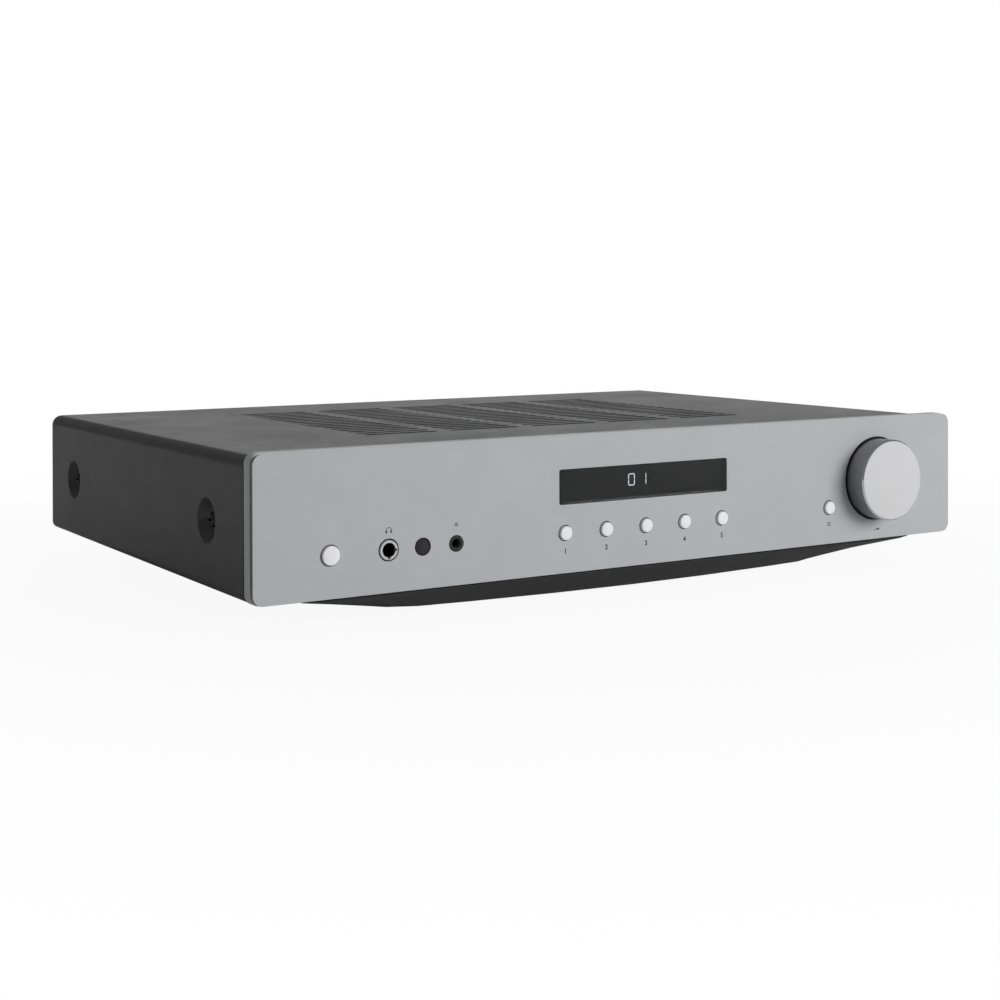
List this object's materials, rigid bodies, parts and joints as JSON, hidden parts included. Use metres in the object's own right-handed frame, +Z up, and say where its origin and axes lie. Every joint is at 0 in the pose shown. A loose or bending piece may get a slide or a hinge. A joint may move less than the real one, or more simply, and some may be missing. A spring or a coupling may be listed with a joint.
{
  "type": "integrated amplifier",
  "caption": "Slim stereo integrated amplifier with a volume knob, display, round push buttons, vented case, rear connectors and a plinth on rubber feet.",
  "frame": {"origin": "under the middle of the whole object, on the surface that its feet stand on", "axes": "+X to the right of a user who faces the fascia, -Y out of the fascia, +Z up"},
  "size_m": [0.43, 0.3236, 0.083],
  "materials": {
    "fascia": "bead-blasted, clear anodised",
    "trim": "satin anodised",
    "cover": "fine textured grey paint on steel",
    "chassis_steel": "zinc plated",
    "knob": "fine turned, clear anodised",
    "button": "polished",
    "smoked_window": "smoked, polished",
    "display_glass": "glass with lit segments",
    "black_moulding": "moulded",
    "terminal_moulding": "moulded",
    "brass": "plated",
    "phono_metal": "nickel plated",
    "rubber": "matt",
    "circuit_board": "solder resist over glass laminate",
    "heatsink": "black anodised extrusion",
    "transformer_winding": "taped winding over a steel core",
    "capacitor_sleeve": "heat-shrunk sleeve"
  },
  "bodies": {
    "chassis": {"front_panel": "fascia", "front_trim": "trim", "top_cover": "cover", "rear_panel": "cover", "bottom_chassis": "chassis_steel", "transformer_plate": "chassis_steel", "transformer_bolt": "chassis_steel", "encoder_body": "chassis_steel", "cover_screw_1": "chassis_steel", "cover_screw_2": "chassis_steel", "cover_screw_3": "chassis_steel", "cover_screw_4": "chassis_steel", "display_window": "smoked_window", "ir_window": "smoked_window", "display_module": "display_glass", "headphone_jack": "black_moulding", "aux_jack": "black_moulding", "mains_inlet": "black_moulding", "mains_switch_frame": "black_moulding", "plinth": "black_moulding", "ribbon_cable": "black_moulding", "output_transistors_1": "black_moulding", "output_transistors_2": "black_moulding", "speaker_terminal_block": "terminal_moulding", "phono_pair_1": "phono_metal", "phono_pair_2": "phono_metal", "phono_pair_3": "phono_metal", "phono_pair_4": "phono_metal", "phono_pair_5": "phono_metal", "phono_pair_6": "phono_metal", "foot_1": "rubber", "foot_2": "rubber", "foot_3": "rubber", "foot_4": "rubber", "front_board": "circuit_board", "main_board": "circuit_board", "input_board": "circuit_board", "heatsink": "heatsink", "toroidal_transformer": "transformer_winding", "reservoir_capacitor_1": "capacitor_sleeve", "reservoir_capacitor_2": "capacitor_sleeve"},
    "volume_knob": {"volume_knob": "knob", "encoder_shaft": "chassis_steel"},
    "power_button": {"power_button": "button"},
    "menu_button": {"menu_button": "button"},
    "mains_rocker": {"mains_rocker": "black_moulding"},
    "source_button_1": {"source_button_1": "button"},
    "source_button_2": {"source_button_2": "button"},
    "source_button_3": {"source_button_3": "button"},
    "source_button_4": {"source_button_4": "button"},
    "source_button_5": {"source_button_5": "button"},
    "speaker_sleeve_1": {"speaker_sleeve_1": "brass"},
    "speaker_cap_1": {"speaker_cap_1": "terminal_moulding"},
    "speaker_sleeve_2": {"speaker_sleeve_2": "brass"},
    "speaker_cap_2": {"speaker_cap_2": "terminal_moulding"},
    "speaker_sleeve_3": {"speaker_sleeve_3": "brass"},
    "speaker_cap_3": {"speaker_cap_3": "terminal_moulding"},
    "speaker_sleeve_4": {"speaker_sleeve_4": "brass"},
    "speaker_cap_4": {"speaker_cap_4": "terminal_moulding"}
  },
  "joints": [
    {"name": "volume_turn", "type": "hinge", "parent": "chassis", "child": "volume_knob", "pos_m": [0.1583, -0.1544, 0.0492], "axis": [0, 1, 0], "continuous": true},
    {"name": "power_press", "type": "slide", "parent": "chassis", "child": "power_button", "axis": [0, 1, 0], "range_m": [0, 0.0008], "stiffness_N_per_m": 400},
    {"name": "source_press_1", "type": "slide", "parent": "chassis", "child": "source_button_1", "axis": [0, 1, 0], "range_m": [0, 0.0008], "stiffness_N_per_m": 400},
    {"name": "source_press_2", "type": "slide", "parent": "chassis", "child": "source_button_2", "axis": [0, 1, 0], "range_m": [0, 0.0008], "stiffness_N_per_m": 400},
    {"name": "source_press_3", "type": "slide", "parent": "chassis", "child": "source_button_3", "axis": [0, 1, 0], "range_m": [0, 0.0008], "stiffness_N_per_m": 400},
    {"name": "source_press_4", "type": "slide", "parent": "chassis", "child": "source_button_4", "axis": [0, 1, 0], "range_m": [0, 0.0008], "stiffness_N_per_m": 400},
    {"name": "source_press_5", "type": "slide", "parent": "chassis", "child": "source_button_5", "axis": [0, 1, 0], "range_m": [0, 0.0008], "stiffness_N_per_m": 400},
    {"name": "menu_press", "type": "slide", "parent": "chassis", "child": "menu_button", "axis": [0, 1, 0], "range_m": [0, 0.0008], "stiffness_N_per_m": 400},
    {"name": "mains_rock", "type": "hinge", "parent": "chassis", "child": "mains_rocker", "pos_m": [-0.108, 0.1363, 0.0483], "axis": [1, 0, 0], "range_deg": [-22, 0]},
    {"name": "speaker_travel_1", "type": "slide", "parent": "chassis", "child": "speaker_sleeve_1", "axis": [0, 1, 0], "range_m": [0, 0.004]},
    {"name": "speaker_turn_1", "type": "hinge", "parent": "speaker_sleeve_1", "child": "speaker_cap_1", "pos_m": [0.028, 0.1506, 0.0498], "axis": [0, 1, 0], "range_deg": [0, 1800]},
    {"name": "speaker_travel_2", "type": "slide", "parent": "chassis", "child": "speaker_sleeve_2", "axis": [0, 1, 0], "range_m": [0, 0.004]},
    {"name": "speaker_turn_2", "type": "hinge", "parent": "speaker_sleeve_2", "child": "speaker_cap_2", "pos_m": [0.009, 0.1506, 0.0498], "axis": [0, 1, 0], "range_deg": [0, 1800]},
    {"name": "speaker_travel_3", "type": "slide", "parent": "chassis", "child": "speaker_sleeve_3", "axis": [0, 1, 0], "range_m": [0, 0.004]},
    {"name": "speaker_turn_3", "type": "hinge", "parent": "speaker_sleeve_3", "child": "speaker_cap_3", "pos_m": [-0.021, 0.1506, 0.0498], "axis": [0, 1, 0], "range_deg": [0, 1800]},
    {"name": "speaker_travel_4", "type": "slide", "parent": "chassis", "child": "speaker_sleeve_4", "axis": [0, 1, 0], "range_m": [0, 0.004]},
    {"name": "speaker_turn_4", "type": "hinge", "parent": "speaker_sleeve_4", "child": "speaker_cap_4", "pos_m": [-0.04, 0.1506, 0.0498], "axis": [0, 1, 0], "range_deg": [0, 1800]}
  ],
  "couplings": [
    {"joint": "speaker_turn_1", "follows": "speaker_travel_1", "rad_per_m": 7853.9},
    {"joint": "speaker_turn_2", "follows": "speaker_travel_2", "rad_per_m": 7853.9},
    {"joint": "speaker_turn_3", "follows": "speaker_travel_3", "rad_per_m": 7853.9},
    {"joint": "speaker_turn_4", "follows": "speaker_travel_4", "rad_per_m": 7853.9}
  ]
}
